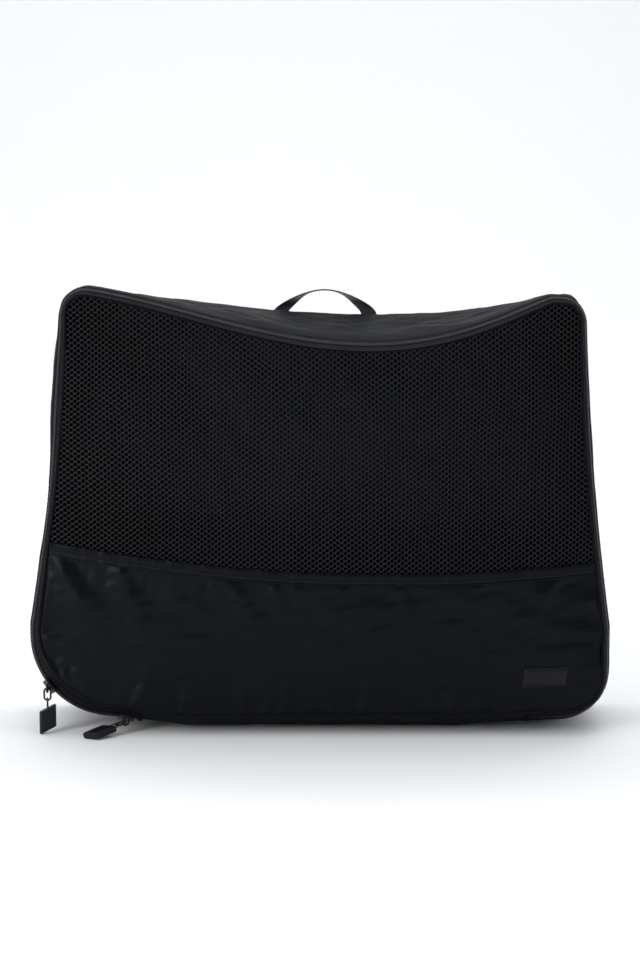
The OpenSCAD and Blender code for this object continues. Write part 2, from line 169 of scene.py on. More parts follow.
# ---------------------------------------------------------------- materials
def new_material(name):
    """A material with its node tree and its Principled shader."""
    m = bpy.data.materials.new(name)
    m.use_nodes = True
    nt = m.node_tree
    nt.nodes.clear()
    out = nt.nodes.new("ShaderNodeOutputMaterial")
    shader = nt.nodes.new("ShaderNodeBsdfPrincipled")
    nt.links.new(shader.outputs[0], out.inputs[0])
    return m, nt, shader


def node(nt, kind, **settings):
    """A new node; each setting goes to the input of that name or else to the property."""
    n = nt.nodes.new(kind)
    for key, value in settings.items():
        if key in n.inputs:
            n.inputs[key].default_value = value
        else:
            setattr(n, key, value)
    return n


def math_node(nt, op, a, b=None):
    """The output of a Math node; a and b are numbers or sockets."""
    n = nt.nodes.new("ShaderNodeMath")
    n.operation = op
    for i, v in enumerate((a, b)):
        if v is None:
            continue
        if isinstance(v, (int, float)):
            n.inputs[i].default_value = v
        else:
            nt.links.new(v, n.inputs[i])
    return n.outputs[0]


def ribs(nt, coord, scale, axis):
    """Parallel ribs from 0 to 1; scale is ribs per unit of coord along axis (0, 1 or 2)."""
    split = nt.nodes.new("ShaderNodeSeparateXYZ")
    nt.links.new(coord, split.inputs[0])
    wave = math_node(nt, "SINE", math_node(nt, "MULTIPLY", split.outputs[axis], 2 * math.pi * scale))
    return math_node(nt, "MULTIPLY_ADD", wave, 0.5)


def tint(nt, shader, factor, dark, light):
    """Base colour from dark to light, by factor."""
    ramp = node(nt, "ShaderNodeMix", data_type="RGBA")
    ramp.inputs[6].default_value, ramp.inputs[7].default_value = (*dark, 1), (*light, 1)
    nt.links.new(factor, ramp.inputs[0])
    nt.links.new(ramp.outputs[2], shader.inputs["Base Color"])


def vary_roughness(nt, shader, factor, rough, spread):
    """Roughness round rough, varied by factor over spread."""
    at = math_node(nt, "ADD", math_node(nt, "MULTIPLY", factor, spread), rough - spread / 2)
    nt.links.new(at, shader.inputs["Roughness"])


def emboss(nt, shader, height, strength, depth):
    """Bump from a height socket, for grain too fine to model."""
    bump = node(nt, "ShaderNodeBump", Strength=strength, Distance=depth)
    nt.links.new(height, bump.inputs["Height"])
    nt.links.new(bump.outputs[0], shader.inputs["Normal"])


def cloth_material(name, dark, light, rough, weave, depth, spec, coord="Object", axes=(0, 2)):
    """Woven cloth: a cross weave, broad mottling of colour and roughness, and a fine grain."""
    m, nt, shader = new_material(name)
    tex = node(nt, "ShaderNodeTexCoord")
    at = tex.outputs[coord]
    mottle = node(nt, "ShaderNodeTexNoise", Scale=26.0, Detail=6.0, Roughness=0.6)
    fine = node(nt, "ShaderNodeTexNoise", Scale=900.0, Detail=3.0, Roughness=0.7)
    for n in (mottle, fine):
        nt.links.new(tex.outputs["Object"], n.inputs["Vector"])
    tint(nt, shader, math_node(nt, "MULTIPLY_ADD", mottle.outputs[0], 0.75), dark, light)
    a, b = ribs(nt, at, weave[0], axes[0]), ribs(nt, at, weave[1], axes[1])
    grain = math_node(nt, "MULTIPLY", fine.outputs[0], 0.25)
    emboss(nt, shader, math_node(nt, "ADD", math_node(nt, "MAXIMUM", a, b), grain), 0.6, depth)
    vary_roughness(nt, shader, mottle.outputs[0], rough, 0.16)
    shader.inputs["Specular IOR Level"].default_value = spec
    return m


def hard_material(name, dark, light, rough, depth, grain, spec, metallic=0.0):
    """Plastic, rubber, thread or metal: broad changes of colour and roughness, and a fine grain."""
    m, nt, shader = new_material(name)
    tex = node(nt, "ShaderNodeTexCoord")
    broad = node(nt, "ShaderNodeTexNoise", Scale=90.0, Detail=5.0)
    fine = node(nt, "ShaderNodeTexNoise", Scale=grain, Detail=3.0)
    for n in (broad, fine):
        nt.links.new(tex.outputs["Object"], n.inputs["Vector"])
    tint(nt, shader, broad.outputs[0], dark, light)
    vary_roughness(nt, shader, broad.outputs[0], rough, 0.18)
    emboss(nt, shader, fine.outputs[0], 0.5, depth)
    shader.inputs["Metallic"].default_value = metallic
    shader.inputs["Specular IOR Level"].default_value = spec
    return m


NYLON = cloth_material("nylon", (0.0014, 0.0018, 0.0031), (0.0029, 0.0035, 0.0058), 0.33, (2200, 2200),
                       0.00002, spec=0.085)
NYLON_SIDE = cloth_material("nylon_side", (0.0015, 0.0019, 0.0031), (0.0031, 0.0037, 0.0058), 0.52, (2200, 2200),
                            0.00002, spec=0.035, axes=(1, 2))
BINDING = cloth_material("binding", (0.0022, 0.0026, 0.0036), (0.0045, 0.0051, 0.0068), 0.62, (900, 1400),
                         0.00006, spec=0.04, coord="UV", axes=(0, 1))
TAPE = cloth_material("zip_tape", (0.0020, 0.0023, 0.0031), (0.0042, 0.0046, 0.0060), 0.62, (1100, 1500),
                      0.00006, spec=0.05, coord="UV", axes=(0, 1))
WEBBING = cloth_material("webbing", (0.005, 0.0055, 0.007), (0.010, 0.011, 0.0135), 0.5, (700, 1250),
                         0.00022, spec=0.4, coord="UV", axes=(0, 1))
NET = hard_material("mesh_thread", (0.0032, 0.0037, 0.0050), (0.0062, 0.0070, 0.0090), 0.45, 0.00003, 2600.0, 0.2)
THREAD = hard_material("thread", (0.0080, 0.0090, 0.0120), (0.0160, 0.0178, 0.0230), 0.42, 0.00003, 3000.0, 0.3)
COIL = hard_material("zip_coil", (0.0035, 0.0039, 0.0048), (0.0070, 0.0076, 0.0092), 0.36, 0.00001, 2000.0, 0.2)
METAL = hard_material("slider_metal", (0.0050, 0.0050, 0.0058), (0.0090, 0.0090, 0.0102), 0.34, 0.00002, 1500.0,
                      0.35, metallic=0.3)
RUBBER = hard_material("pull_tab", (0.0036, 0.0037, 0.0044), (0.0064, 0.0066, 0.0078), 0.46, 0.00006, 1800.0, 0.22)
PATCH = hard_material("patch", (0.0026, 0.0029, 0.0035), (0.0050, 0.0055, 0.0066), 0.42, 0.00004, 1300.0, 0.2)


# ---------------------------------------------------------------- meshes
def make(name, verts, faces, material, body=None, replaces=(), uv=None):
    mesh = bpy.data.meshes.new(name)
    verts = np.asarray(verts, float).reshape(-1, 3)
    mesh.from_pydata(verts.tolist(), [], [list(map(int, f)) for f in faces])
    mesh.validate()
    mesh.polygons.foreach_set("use_smooth", [True] * len(mesh.polygons))
    if uv is not None:
        layer = mesh.uv_layers.new(name="UVMap")
        ids = np.empty(len(mesh.loops), int)
        mesh.loops.foreach_get("vertex_index", ids)
        layer.data.foreach_set("uv", np.asarray(uv, float).reshape(-1, 2)[ids].ravel())
    mesh.materials.append(material)
    mesh.update()
    obj = bpy.data.objects.new(name, mesh)
    bpy.context.scene.collection.objects.link(obj)
    if body:
        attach(obj, body)
    if replaces:
        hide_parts(*replaces)
    return obj


def grid_faces(rows, cols, wrap_rows=False, wrap_cols=False, flip=False):
    """The quads of a grid of points, closed round in either direction if asked."""
    r = np.arange(rows if wrap_rows else rows - 1)
    c = np.arange(cols if wrap_cols else cols - 1)
    rr, cc = np.meshgrid(r, c, indexing="ij")
    r2, c2 = (rr + 1) % rows, (cc + 1) % cols
    quads = np.stack([rr * cols + cc, rr * cols + c2, r2 * cols + c2, r2 * cols + cc], -1).reshape(-1, 4)
    return quads[:, ::-1] if flip else quads


def lengths_along(points):
    """The distance of each point from the first, along the line."""
    step = np.linalg.norm(np.diff(points, axis=0), axis=-1)
    return np.concatenate([[0], np.cumsum(step)])


def tube_faces(rings, sides, copies=1, flip=False):
    """Faces of tubes of rings by sides points, each closed at both ends."""
    one = [list(f) for f in grid_faces(rings, sides, wrap_cols=True, flip=flip)]
    ends = [list(range(sides))[::-1], list(range((rings - 1) * sides, rings * sides))]
    one += [f[::-1] for f in ends] if flip else ends
    return [[v + rings * sides * j for v in f] for j in range(copies) for f in one]


# ---------------------------------------------------------------- swept pieces of the case
def swept(name, section, start, end, material, body, replaces, per, relief, closed=False):
    """Sweeps a section of [depth, inset] along the outline, per steps a station; relief(k, y) lifts it, in mm."""
    count = int(round((end - start) * per))
    ks = start + np.arange(count if closed else count + 1) / per
    sec = np.asarray(section, float)
    k, y = np.meshgrid(ks, sec[:, 0], indexing="ij")
    grid = outline(k, y, sec[:, 1] - relief(k, y))
    d = lengths_along(grid[:, 0])
    across = lengths_along(grid[0])
    uv = np.stack(np.meshgrid(d, across, indexing="ij"), -1)
    if closed:
        faces = grid_faces(len(ks), len(sec), wrap_rows=True, wrap_cols=True, flip=True)
    else:
        faces = tube_faces(len(ks), len(sec), flip=True)
    return make(name, grid, faces, material, body, replaces, uv)


def both_faces(ys, t, outer=0.0):
    """The section of a sheet t thick, through the depths ys."""
    return [[y, outer] for y in ys] + [[y, outer + t] for y in ys[::-1]]


def wall_relief(seed):
    """How the thin cloth of the walls gives between its seams: broad dents, and puckers near each seam."""
    lead = np.random.default_rng(seed)
    spots = [(lead.uniform(LOW_MID, ALL_N - LOW_MID), lead.uniform(0.8, 1.6), lead.uniform(-1.7, 1.5),
              lead.uniform(-0.05, 0.05)) for _ in range(26)]

    def relief(k, y):
        v = np.clip((y - TAPE_BACK) / (BACK_Y - 2 - TAPE_BACK), 0, 1)
        inner = np.sin(np.pi * v) ** 0.7
        arc = k * STATION
        out = 1.4 * noise(arc, y, seed, 1 / 80.0, 4) * inner
        for at_k, wide, tall, slant in spots:
            out = out + tall * inner * np.exp(-((k - at_k - slant * (y - 8)) / wide) ** 2)
        near = np.exp(-8.0 * (1 - v)) + np.exp(-8.0 * v)
        rough = np.sin(np.pi * np.clip(v, 0, 1)) ** 0.35
        out = out + 0.75 * noise(arc, y * 0.25, seed + 5, 1 / 15.0, 2) * near * rough
        return out * np.where((v > 0) & (v < 1), 1.0, 0.0)
    return relief


WALL_T, TAPE_T = 0.7, 0.6
wall_ys = list(np.linspace(TAPE_BACK - 1.2, BACK_Y - 1.2, 64))
side_relief = wall_relief(11)


def between_seams(relief):
    """The relief, kept off the strips that the tape and the rear binding hold."""
    return lambda k, y: np.where((y > TAPE_BACK) & (y < BACK_Y - 2), relief(k, y), 0.0)


gusset = swept("gusset_walls", both_faces(wall_ys, WALL_T), LOW_MID, ALL_N - LOW_MID, NYLON_SIDE, "case",
               ("gusset_top", "gusset_left", "gusset_right"), per=10, relief=between_seams(side_relief))
base = swept("gusset_base", both_faces(wall_ys, WALL_T), -LOW_MID, LOW_MID, NYLON_SIDE, "case",
             ("gusset_bottom",), per=10,
             relief=between_seams(lambda k, y: 0.25 * noise(k * 20, y, 23, 1 / 70.0, 3) - 0.25))
flap_ys = list(np.linspace(LID_TAPE_Y, TAPE_BACK + 0.8, 22))
flap = swept("base_flap", both_faces(flap_ys, TAPE_T, 0.1), -ZIP_END, ZIP_END, NYLON_SIDE, None,
             ("lid_flap",), per=8, relief=lambda k, y: 0.12 * noise(k * 20, y, 29, 1 / 24.0, 2))
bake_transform(flap)


def bead_section(r):
    """A round cord at the front edge."""
    a = np.linspace(0, 2 * np.pi, 14, endpoint=False)
    return [[FRONT_Y - r * math.sin(v), r * math.cos(v)] for v in a]


def round_section(y0, y1, i0, i1, r):
    """A rectangle in depth and inset with rounded corners."""
    n = 4
    out = []
    for cy, ci, turn in ((y1 - r, i0 + r, -90), (y1 - r, i1 - r, 0), (y0 + r, i1 - r, 90), (y0 + r, i0 + r, 180)):
        for j in range(n):
            v = math.radians(turn + 90 * j / (n - 1))
            out.append([cy + r * math.cos(v), ci + r * math.sin(v)])
    return out


def wobble(seed, amount, waves):
    """Unevenness along the outline, the same all round a cord or binding."""
    return lambda k, y: amount * noise(k * STATION, 0 * y, seed, waves, 3)


def tape_relief(seed, fold_y, fold, width):
    """A tape's slight waves, and the raised fold of cloth at its sewn edge."""
    def relief(k, y):
        return 0.10 * noise(k * STATION, y, seed, 1 / 30.0, 2) + fold * np.exp(-((y - fold_y) / width) ** 2)
    return relief


swept("lid_piping", bead_section(BEAD_R), 0, ALL_N, BINDING, "lid", ("lid_binding",), per=10,
      closed=True, relief=wobble(31, 0.16, 1 / 45.0))
swept("lid_piping_lap", bead_section(BEAD_R + 0.35), 0.95, 1.5, BINDING, "lid", (), per=20,
      relief=wobble(32, 0.1, 1 / 20.0))
swept("rear_binding_wrap", round_section(BACK_Y - 2.0, BACK_Y + 1.5, 0.1, 3.0, 0.9), 0, ALL_N, BINDING, "case",
      ("rear_binding",), per=10, closed=True, relief=wobble(33, 0.22, 1 / 40.0))
LAP_K = ALL_N - 32.0
swept("rear_binding_lap", round_section(BACK_Y - 2.5, BACK_Y + 1.9, -0.35, 3.2, 0.8), LAP_K, LAP_K + 0.9, BINDING,
      "case", (), per=20, relief=wobble(34, 0.12, 1 / 16.0))

tape_ys = list(np.linspace(ZIP_Y + SPLIT, TAPE_BACK + 1.0, 14))
swept("case_tape", both_faces(tape_ys, TAPE_T, 0.15), ZIP_END, ALL_N - ZIP_END, TAPE, "case",
      ("case_zip_tape",), per=10, relief=tape_relief(41, TAPE_BACK + 0.2, 0.55, 0.9))
lid_tape_ys = list(np.linspace(LID_TAPE_Y, ZIP_Y - SPLIT, 14))
swept("lid_tape", both_faces(lid_tape_ys, TAPE_T, 0.15), ZIP_END, ALL_N - ZIP_END, TAPE, "lid",
      ("lid_zip_tape",), per=10, relief=tape_relief(43, LID_TAPE_Y + 3.0, 0.35, 0.8))

# the bound seams inside
swept("inner_binding_back", round_section(BACK_Y - 7.5, BACK_Y - 2.2, 0.8, 2.6, 0.8), 0, ALL_N, BINDING, "case",
      (), per=6, closed=True, relief=wobble(36, 0.3, 1 / 35.0))
swept("inner_binding_front", round_section(TAPE_BACK - 1.0, TAPE_BACK + 4.5, 0.9, 2.2, 0.6), ZIP_END,
      ALL_N - ZIP_END, BINDING, "case", (), per=6, relief=wobble(37, 0.25, 1 / 35.0))


# ---------------------------------------------------------------- the back panel, gently filled
BACK_MID_Z = 165.0


def fan(name, rim, middle, depth, material, body, replaces):
    """A sheet inside an outline in the XZ plane, in mm; depth(x, z, r) gives its y, r from 0 in the middle to 1."""
    rings = 40
    r = np.linspace(0, 1, rings + 1)[1:] ** 0.9
    x = middle[0] + (rim[None, :, 0] - middle[0]) * r[:, None]
    z = middle[1] + (rim[None, :, 1] - middle[1]) * r[:, None]
    rr = np.broadcast_to(r[:, None], x.shape)
    n = rim.shape[0]
    front = np.stack([x, depth(x, z, rr), z], -1).reshape(-1, 3)
    hub_y = depth(np.array([middle[0]]), np.array([middle[1]]), np.array([0.0]))[0]
    verts = np.vstack([front, [middle[0], hub_y, middle[1]]])
    faces = [list(f) for f in grid_faces(rings, n, wrap_cols=True)]
    faces += [[rings * n, (j + 1) % n, j] for j in range(n)]
    return make(name, verts * MM, faces, material, body, replaces)


def back_depth(x, z, r):
    """Depth of the back cloth: filled in the middle, with waves, and puckers along its seam."""
    swell = 3.6 * (1 - r ** 3)
    waves = 1.7 * noise(x, z, 51, 1 / 105.0, 4) * (1 - r ** 4)
    near_seam = np.exp(-((1 - r) / 0.07)) * (1 - r ** 12)
    pucker = 0.8 * noise(np.arctan2(z - BACK_MID_Z, x) * 180, r * 10, 52, 1 / 16.0, 2) * near_seam
    return BACK_Y - 0.4 + np.maximum(swell + waves, 0.0) + pucker


back_rim = outline(np.arange(0, ALL_N, 0.2), BACK_Y, 2.4)[:, [0, 2]] / MM
back = fan("back_cloth", back_rim, (0.0, BACK_MID_Z), back_depth, NYLON, "case", ("back_panel",))


# ---------------------------------------------------------------- zip teeth and stitches
def surface_frames(ks, y):
    """Points on the skin at stations ks and depth y, with the way along it, across it (+Y) and out of it."""
    y = np.broadcast_to(np.asarray(y, float), np.shape(ks))
    p = outline(ks, y)
    t = outline(ks + 0.02, y) - outline(ks - 0.02, y)
    c = outline(ks, y + 0.4) - outline(ks, y - 0.4)
    t, c = (v / np.linalg.norm(v, axis=-1, keepdims=True) for v in (t, c))
    return p, t, c, np.cross(t, c)


def even_stations(start, end, y, pitch, offset=0.0):
    """Stations from start to end whose points lie pitch mm apart."""
    ks = np.linspace(start, end, 4000)
    d = lengths_along(outline(ks, y)) / MM
    return np.interp(np.arange(offset, d[-1], pitch), d, ks)


TOOTH_SIDES, STITCH_SIDES, PITCH, SEAM_PITCH = 7, 6, 1.25, 3.1


def bars(name, ks, side, body, replaces):
    """The teeth of one row of a coil zip: rounded bars across it, each with a head that meets the other row."""
    p, t, c, n = surface_frames(ks, ZIP_Y)
    c = c * side
    reach = np.array([-0.34, 0.02, 0.42, 1.0, 2.1, 2.62, 2.78])
    above = np.array([0.40, 0.52, 0.56, 0.60, 0.58, 0.36, 0.12])
    wide = np.array([0.16, 0.40, 0.36, 0.30, 0.30, 0.28, 0.18])
    high = np.array([0.12, 0.34, 0.32, 0.30, 0.30, 0.28, 0.16])
    a = np.linspace(0, 2 * np.pi, TOOTH_SIDES, endpoint=False)
    ring = (np.cos(a)[None, :, None] * wide[:, None, None] * t[:, None, None, :]
            + np.sin(a)[None, :, None] * high[:, None, None] * n[:, None, None, :])
    spine = p[:, None, :] + (reach[None, :, None] * c[:, None, :] + above[None, :, None] * n[:, None, :]) * MM
    faces = tube_faces(len(reach), TOOTH_SIDES, copies=len(ks))
    make(name, spine[:, :, None, :] + ring * MM, faces, COIL, body, replaces)


bars("case_coil", even_stations(ZIP_END, ALL_N - ZIP_END, ZIP_Y, PITCH), 1.0, "case", ("case_zip_coil",))
bars("lid_coil", even_stations(ZIP_END, ALL_N - ZIP_END, ZIP_Y, PITCH, PITCH / 2), -1.0, "lid", ("lid_zip_coil",))


def stitches(name, centre, along, out, body, length=2.3, wide=0.34):
    """One small raised thread for each point: centre, the way it runs, and the way out of the cloth."""
    side = np.cross(along, out)
    at = np.array([-0.5, -0.36, 0.0, 0.36, 0.5]) * length
    fat = np.array([0.25, 0.8, 1.0, 0.8, 0.25]) * wide / 2
    lift = np.array([-0.16, 0.02, 0.10, 0.02, -0.16])
    a = np.linspace(0, 2 * np.pi, STITCH_SIDES, endpoint=False)
    spine = centre[:, None] + (at[None, :, None] * along[:, None] + lift[None, :, None] * out[:, None]) * MM
    ring = fat[None, :, None, None] * (np.cos(a)[None, None, :, None] * side[:, None, None, :]
                                       + np.sin(a)[None, None, :, None] * out[:, None, None, :]) * MM
    faces = tube_faces(len(at), STITCH_SIDES, copies=len(centre))
    make(name, spine[:, :, None] + ring, faces, THREAD, body)


def seam_stitches(name, y, body):
    """A row of stitches along the zip, at depth y."""
    p, t, _, n = surface_frames(even_stations(ZIP_END, ALL_N - ZIP_END, y, SEAM_PITCH, 1.0), y)
    stitches(name, p + n * 0.1 * MM, t, n, body)


seam_stitches("stitch_case_tape", ZIP_Y + 4.3, "case")
seam_stitches("stitch_case_edge", TAPE_BACK + 2.6, "case")
seam_stitches("stitch_lid_tape", ZIP_Y - 4.3, "lid")


# ---------------------------------------------------------------- the lid's cloth panel
rim_all = outline(np.arange(0, ALL_N + 0.05, 0.1), FRONT_Y, 1.0)[:, [0, 2]] / MM
half = len(rim_all) // 2
RIM = {-1: rim_all[:half + 1], 1: rim_all[half:][::-1]}


def rim_branch(side):
    """The lower and the upper part of one side's rim, -1 left or 1 right, split at its widest place."""
    line = RIM[side]
    widest = int(np.argmax(np.abs(line[:, 0])))
    high = line[widest:]
    return line[:widest + 1], high[:int(np.argmax(high[:, 1])) + 1]


def rim_z(x, low):
    """Height of the rim under (low) or beside and over x."""
    out = np.zeros_like(x)
    for side in (-1, 1):
        part = rim_branch(side)[0 if low else 1]
        order = np.argsort(np.abs(part[:, 0]))
        here = (x < 0) if side < 0 else (x >= 0)
        out[here] = np.interp(np.abs(x[here]), np.abs(part[order, 0]), part[order, 1])
    return out


def ridge(x, z, x0, z0, turn, length, width, tall):
    """A soft fold that starts at x0, z0 and runs at turn degrees from +X, dying away along its length."""
    c, s = math.cos(math.radians(turn)), math.sin(math.radians(turn))
    a, b = (x - x0) * c + (z - z0) * s, -(x - x0) * s + (z - z0) * c
    grow = np.clip(a / length, -0.3, 1.3)
    body = np.where(grow < 0, np.exp(-(grow / 0.12) ** 2), np.clip(1 - grow, 0, 1) ** 1.3)
    spread = width * (0.7 + 0.9 * np.clip(grow, 0, 1))
    return tall * body * (np.exp(-(b / spread) ** 2) - 0.35 * np.exp(-((b - 1.6 * spread) / spread) ** 2))


# Each fold's start x and z, its turn, length, width and height: those that rise from the lower edge, those that
# hang from the hem, and those at the sides.
FOLDS = [
    (-104, 18, 84, 30, 3.4, 1.6), (-96, 17, 98, 22, 2.8, 1.2), (-58, 18, 96, 36, 3.8, 1.9),
    (-42, 17, 74, 34, 3.4, 1.8), (-27, 17, 84, 44, 4.0, 2.0), (-8, 17, 100, 26, 3.0, 1.5),
    (8, 17, 82, 24, 2.8, 1.2), (33, 17, 78, 42, 4.0, 1.8), (66, 17, 98, 28, 3.2, 1.4),
    (101, 18, 86, 44, 4.2, 1.7), (139, 19, 102, 34, 3.8, 1.5), (-140, 26, 66, 46, 5.0, 1.4),
    (-196, 132, -62, 96, 9.0, 2.2), (-150, 128, -74, 64, 7.0, 1.7), (-70, 122, -58, 60, 6.0, 1.6),
    (-34, 120, -78, 46, 5.0, 1.5), (20, 120, -112, 60, 6.5, 1.2), (60, 119, -76, 70, 6.0, 1.3),
    (118, 117, -104, 66, 7.0, 1.8), (176, 118, -118, 84, 8.0, 2.0),
    (205, 80, 172, 60, 6.0, 1.0), (-207, 74, -8, 76, 9.0, 1.5), (206, 104, 200, 46, 5.0, 1.1)]
FOLD_SCALE, HEM_COVER = 1.25, 6.5
PATCH_X, PATCH_Z, PATCH_L, PATCH_H = 171.5, 45.5, 34.0, 15.5


def panel_relief(x, z, low, high):
    """How far the lower cloth stands out at x, z: folds, waves and puckers, fading at its edges and the patch."""
    up = np.clip(z - low, 0, None)
    down = np.clip(high - z, 0, None)
    edge_mask = (1 - np.exp(-up / 2.0)) * (1 - np.exp(-np.clip(down - HEM_COVER, 0, None) / 3.0))
    out = 1.5 * noise(x, z * 1.4, 61, 1 / 110.0, 4)
    for fold in FOLDS:
        out = out + FOLD_SCALE * ridge(x, z, *fold)
    out = out + 1.1 * noise(x, z * 0.2, 62, 1 / 15.0, 2) * np.exp(-up / 12.0)
    out = out + 1.0 * noise(x, z * 0.25, 63, 1 / 15.0, 2) * np.exp(-down / 22.0)
    d = np.maximum(np.abs(x - PATCH_X) - PATCH_L / 2, np.abs(z - PATCH_Z) - PATCH_H / 2)
    return out * edge_mask * np.clip(np.exp(-np.exp(-(d - 3) / 3.0)), 0, 1)


PANEL_ROWS, PANEL_COLS = 101, 321
reach_l, reach_r = (side * (np.abs(RIM[side][:, 0]).max() - 0.3) for side in (-1, 1))
cols = (0.55 * np.sin(np.linspace(-np.pi / 2, np.pi / 2, PANEL_COLS)) + 0.45 * np.linspace(-1, 1, PANEL_COLS))
px = mix(reach_l, reach_r, (cols + 1) / 2)
low_z = rim_z(px, True)
high_z = np.minimum(rim_z(px, False), hem_line(px) - 2.0)
high_z = np.maximum(high_z, low_z + 0.2)
rows = np.linspace(0, 1, PANEL_ROWS)[:, None]
gx = np.broadcast_to(px[None, :], (PANEL_ROWS, PANEL_COLS)).copy()
gz = low_z[None, :] * (1 - rows) + high_z[None, :] * rows
gy = lid_y(gx, gz) - panel_relief(gx, gz, low_z[None, :], high_z[None, :])
panel = make("lid_cloth", np.stack([gx, gy, gz], -1) * MM, grid_faces(PANEL_ROWS, PANEL_COLS), NYLON, "lid",
             ("lid_panel",), np.stack([gx, gz], -1) * MM)


# ---------------------------------------------------------------- the hem over it, and its stitching
def side_x(z, side):
    """The x of the rim at height z, between the lower corner and the top."""
    part = rim_branch(side)[1]
    return float(np.interp(z, part[:, 1], part[:, 0]))


HEM_X0, HEM_X1, HEM_COLS = side_x(147.0, -1), side_x(131.0, 1), 420
GROOVE = (-5.6, -6.3, -7.0)
hx = np.linspace(HEM_X0, HEM_X1, HEM_COLS)
# The fold's section from its upper edge down: height from the hem line, and how far it stands out. The stitches sit
# in the groove near its lower edge.
hem_profile = [(-0.2, 0.1), (0.5, 0.3), (0.75, 0.8), (0.5, 1.3), (-0.6, 1.5), (-2.4, 1.35), (-4.2, 1.25),
               (-5.6, 0.95), (-6.3, 0.35), (-7.0, 0.95), (-8.2, 1.0), (-8.9, 0.75), (-9.1, 0.2)]
pull = 0.5 + 0.5 * np.cos(2 * np.pi * (hx - HEM_X0) / SEAM_PITCH)
fat = 1 + 0.35 * noise(hx, 0 * hx, 71, 1 / 22.0, 3)
drift_z = 0.35 * noise(hx, 0 * hx, 72, 1 / 60.0, 2)
drift_y = 0.24 * noise(hx, 0 * hx, 63, 1 / 13.0, 2)
hz, hy = [], []
for dz, out in hem_profile:
    z = hem_line(hx) + dz + drift_z
    bulge = out * (fat if GROOVE[0] < dz < 1 else 1.0) - (0.4 * pull if dz in GROOVE else 0)
    hz.append(z)
    hy.append(lid_y(hx, z) - 0.15 - bulge - drift_y)
hem_grid = np.stack([np.broadcast_to(hx, (len(hem_profile), HEM_COLS)), np.array(hy), np.array(hz)], -1) * MM
make("lid_hem_fold", hem_grid, grid_faces(len(hem_profile), HEM_COLS, flip=True), NYLON, "lid",
     ("lid_hem",), hem_grid[..., [0, 2]])
sx = np.arange(HEM_X0 + 3, HEM_X1 - 3, SEAM_PITCH)
deep = [dz for dz, _ in hem_profile].index(GROOVE[1])
hem_row = np.stack([sx, np.interp(sx, hx, hy[deep]), np.interp(sx, hx, hz[deep])], -1)
along = np.gradient(hem_row, axis=0)
along /= np.linalg.norm(along, axis=1, keepdims=True)
stitches("stitch_hem", (hem_row + [0, -0.22, 0]) * MM, along, np.tile([0.0, -1.0, 0.0], (len(sx), 1)), "lid",
         length=2.4, wide=0.62)


# ---------------------------------------------------------------- the net over the window
STEP_X, STEP_Z, OPEN = 2.7, 2.0, 0.77
NET_Z, NET_COLS, NET_ROWS = 120, 82, 122
top_line = outline(np.arange(HEM_LEFT, HEM_RIGHT, 0.1), FRONT_Y, 0.6)[:, [0, 2]] / MM
hem_end = np.linspace(top_line[-1, 0], top_line[0, 0], 160)
WINDOW = np.vstack([top_line, np.stack([hem_end, hem_line(hem_end) - 4.6], -1)])


def inside(points, poly):
    """Which points lie inside the outline."""
    x, z = points[:, 0], points[:, 1]
    found = np.zeros(len(points), bool)
    for (x0, z0), (x1, z1) in zip(poly, np.roll(poly, -1, 0)):
        cross = (z0 > z) != (z1 > z)
        found ^= cross & (x < (x1 - x0) * (z - z0) / (z1 - z0 + 1e-12) + x0)
    return found


def nearest(points, poly):
    """The nearest point of the outline to each point, and how far it is."""
    best = np.full(len(points), 1e9)
    where = points.copy()
    for a, b in zip(poly, np.roll(poly, -1, 0)):
        ab = b - a
        t = np.clip(((points - a) @ ab) / (ab @ ab + 1e-12), 0, 1)
        q = a + t[:, None] * ab
        d = np.linalg.norm(points - q, axis=1)
        hit = d < best
        best[hit], where[hit] = d[hit], q[hit]
    return where, best


